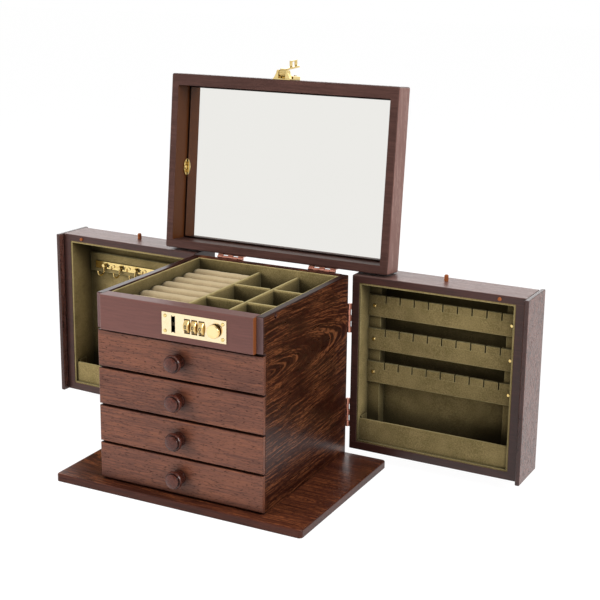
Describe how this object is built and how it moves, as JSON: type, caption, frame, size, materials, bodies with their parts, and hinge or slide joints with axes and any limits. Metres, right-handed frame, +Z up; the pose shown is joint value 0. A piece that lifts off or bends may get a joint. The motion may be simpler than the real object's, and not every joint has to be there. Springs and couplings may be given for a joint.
{
  "type": "jewelry box",
  "caption": "Wooden jewelry box with a mirrored lid, swing-out wings with hooks and earring bars, a lined tray with ring rolls, drawers with turned knobs and a combination lock.",
  "frame": {"origin": "on the underside of the base board, on the middle plane of the case", "axes": "+X to the right seen from the front, -Y towards the front, +Z up"},
  "size_m": [0.5792, 0.2658, 0.4174],
  "materials": {
    "mahogany": "satin lacquer",
    "drawer_wood": "plain",
    "velvet": "velvet pile",
    "ring_velvet": "velvet pile",
    "brass": "polished",
    "copper_hinge": "copper plated",
    "steel": "plain",
    "mirror_glass": "silvered"
  },
  "bodies": {
    "case": {"base_board": "mahogany", "case_back": "mahogany", "case_hinge_leaves": "copper_hinge", "case_shelves": "mahogany", "case_side_left": "mahogany", "case_side_right": "mahogany", "dial_axle": "steel", "hinge_pins": "steel", "lock_case": "steel", "lock_plate": "brass", "lock_screws": "brass", "ring_rolls": "ring_velvet", "top_front_panel": "mahogany", "tray_dividers": "velvet", "tray_lining": "velvet"},
    "lid": {"lid_frame": "mahogany", "lid_panel": "mahogany", "mirror": "mirror_glass", "mirror_clips": "brass", "lid_hinge_leaves": "copper_hinge", "hasp_base": "brass", "hasp_pin": "brass"},
    "hasp_arm": {"hasp_arm": "brass"},
    "left_wing": {"left_wing_frame": "mahogany", "left_wing_end_panel": "mahogany", "left_wing_lining": "velvet", "left_wing_pegs": "mahogany", "left_wing_hinge_leaves": "copper_hinge", "hook_rail": "velvet", "hook_strip": "brass"},
    "right_wing": {"right_wing_frame": "mahogany", "right_wing_end_panel": "mahogany", "right_wing_lining": "velvet", "right_wing_pegs": "mahogany", "right_wing_hinge_leaves": "copper_hinge", "bar_battens": "velvet", "earring_bars": "velvet", "bar_screws": "brass"},
    "drawer_1": {"drawer_1_front": "mahogany", "drawer_1_box": "drawer_wood", "drawer_1_lining": "velvet", "drawer_1_knob": "mahogany"},
    "drawer_2": {"drawer_2_front": "mahogany", "drawer_2_box": "drawer_wood", "drawer_2_lining": "velvet", "drawer_2_knob": "mahogany"},
    "drawer_3": {"drawer_3_front": "mahogany", "drawer_3_box": "drawer_wood", "drawer_3_lining": "velvet", "drawer_3_knob": "mahogany"},
    "drawer_4": {"drawer_4_front": "mahogany", "drawer_4_box": "drawer_wood", "drawer_4_lining": "velvet", "drawer_4_knob": "mahogany"},
    "dial_1": {"dial_1": "brass"},
    "dial_2": {"dial_2": "brass"},
    "dial_3": {"dial_3": "brass"},
    "lock_button": {"lock_button": "brass"},
    "lock_bolt": {"lock_bolt": "steel"}
  },
  "joints": [
    {"name": "lid_hinge", "type": "hinge", "parent": "case", "child": "lid", "pos_m": [0, 0.0952, 0.2043], "axis": [-1, 0, 0], "range_deg": [-95.5, 0]},
    {"name": "left_wing_hinge", "type": "hinge", "parent": "case", "child": "left_wing", "pos_m": [-0.0938, 0.0945, 0.104], "axis": [0, 0, -1], "range_deg": [-93.4, 5]},
    {"name": "right_wing_hinge", "type": "hinge", "parent": "case", "child": "right_wing", "pos_m": [0.0938, 0.0945, 0.104], "axis": [0, 0, 1], "range_deg": [-89.2, 7]},
    {"name": "hasp_hinge", "type": "hinge", "parent": "lid", "child": "hasp_arm", "pos_m": [0, 0.11987, 0.40526], "axis": [-1, 0, 0], "range_deg": [-172.5, 0]},
    {"name": "drawer_1_slide", "type": "slide", "parent": "case", "child": "drawer_1", "axis": [0, -1, 0], "range_m": [0, 0.12]},
    {"name": "drawer_2_slide", "type": "slide", "parent": "case", "child": "drawer_2", "axis": [0, -1, 0], "range_m": [0, 0.12]},
    {"name": "drawer_3_slide", "type": "slide", "parent": "case", "child": "drawer_3", "axis": [0, -1, 0], "range_m": [0, 0.12]},
    {"name": "drawer_4_slide", "type": "slide", "parent": "case", "child": "drawer_4", "axis": [0, -1, 0], "range_m": [0, 0.12]},
    {"name": "dial_1_turn", "type": "hinge", "parent": "case", "child": "dial_1", "pos_m": [0.0155, -0.0961, 0.1863], "axis": [1, 0, 0], "continuous": true},
    {"name": "dial_2_turn", "type": "hinge", "parent": "case", "child": "dial_2", "pos_m": [0.0235, -0.0961, 0.1863], "axis": [1, 0, 0], "continuous": true},
    {"name": "dial_3_turn", "type": "hinge", "parent": "case", "child": "dial_3", "pos_m": [0.0315, -0.0961, 0.1863], "axis": [1, 0, 0], "continuous": true},
    {"name": "button_push", "type": "slide", "parent": "case", "child": "lock_button", "axis": [0, 1, 0], "range_m": [0, 0.0015], "stiffness_N_per_m": 400},
    {"name": "bolt_slide", "type": "slide", "parent": "case", "child": "lock_bolt", "axis": [1, 0, 0], "range_m": [0, 0.0034]}
  ],
  "couplings": [
    {"joint": "bolt_slide", "follows": "button_push", "ratio": 2.2667}
  ]
}
